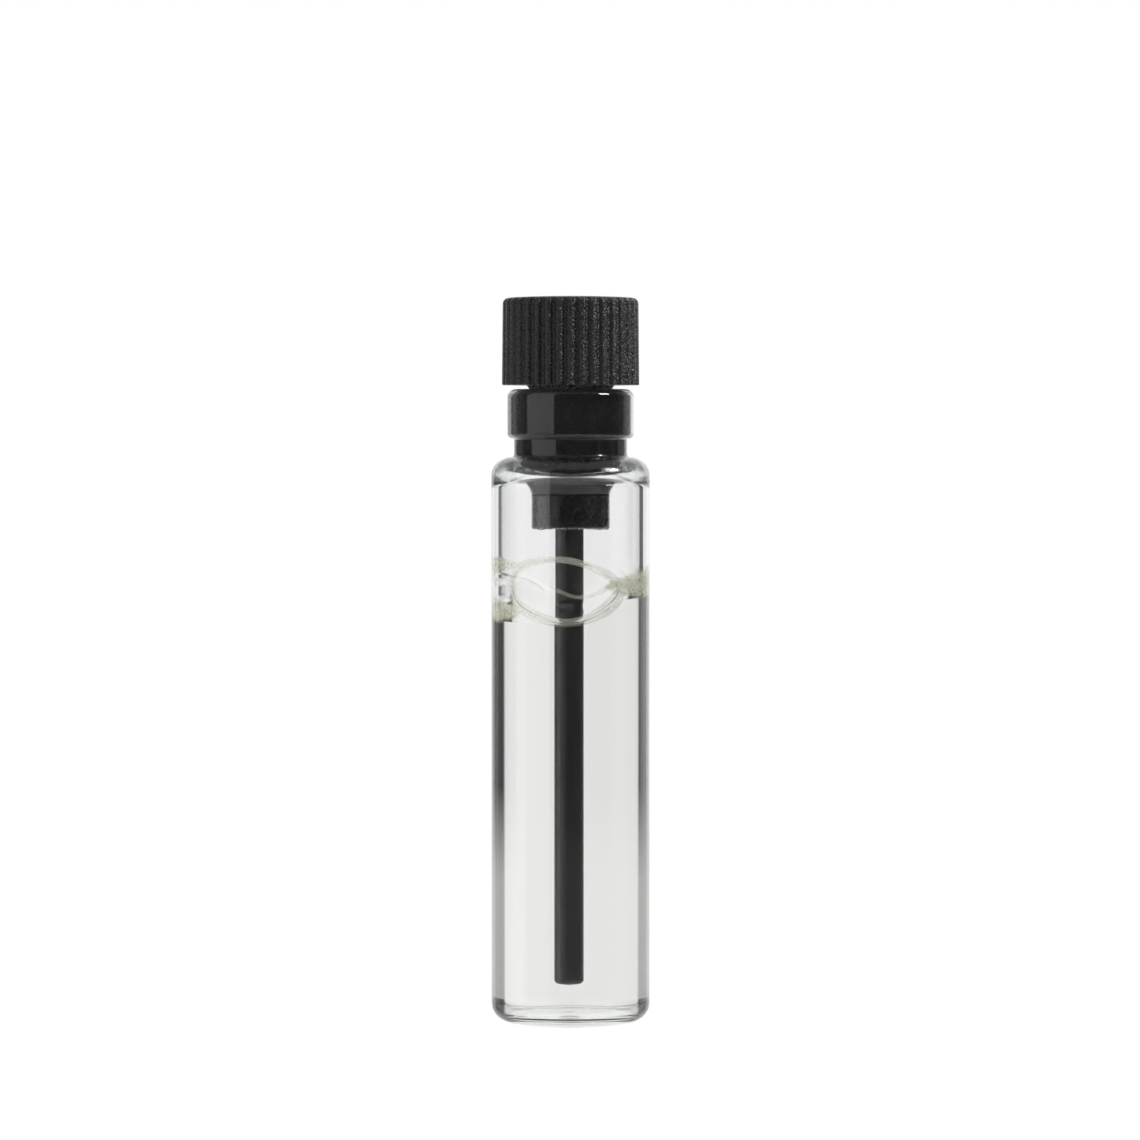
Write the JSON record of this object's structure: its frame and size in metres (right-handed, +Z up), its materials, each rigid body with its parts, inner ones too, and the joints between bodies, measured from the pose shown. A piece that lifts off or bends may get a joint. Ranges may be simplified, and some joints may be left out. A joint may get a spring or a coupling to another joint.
{
  "type": "glass sample vial",
  "caption": "Small clear glass tube vial with rolled lip and narrow neck, closed by a ribbed black push-in stopper whose dabber wand stands in the clear liquid sample",
  "frame": {"origin": "centre of the foot ring, on the surface that the vial stands on", "axes": "+Z up along the vial's axis, from the base to the cap; -Y faces the viewer of the picture"},
  "size_m": [0.008, 0.008, 0.0366],
  "materials": {
    "glass": "clear drawn tube glass with a faint green edge",
    "stopper": "black moulded polyethylene, satin",
    "liquid": "clear, very faintly yellow-green liquid"
  },
  "bodies": {
    "vial": {"glass_vial": "glass", "liquid_sample": "liquid"},
    "stopper": {"stopper": "stopper"}
  },
  "joints": [
    {"name": "stopper_pull", "type": "slide", "parent": "vial", "child": "stopper", "axis": [0, 0, 1], "range_m": [0, 0.031]}
  ]
}
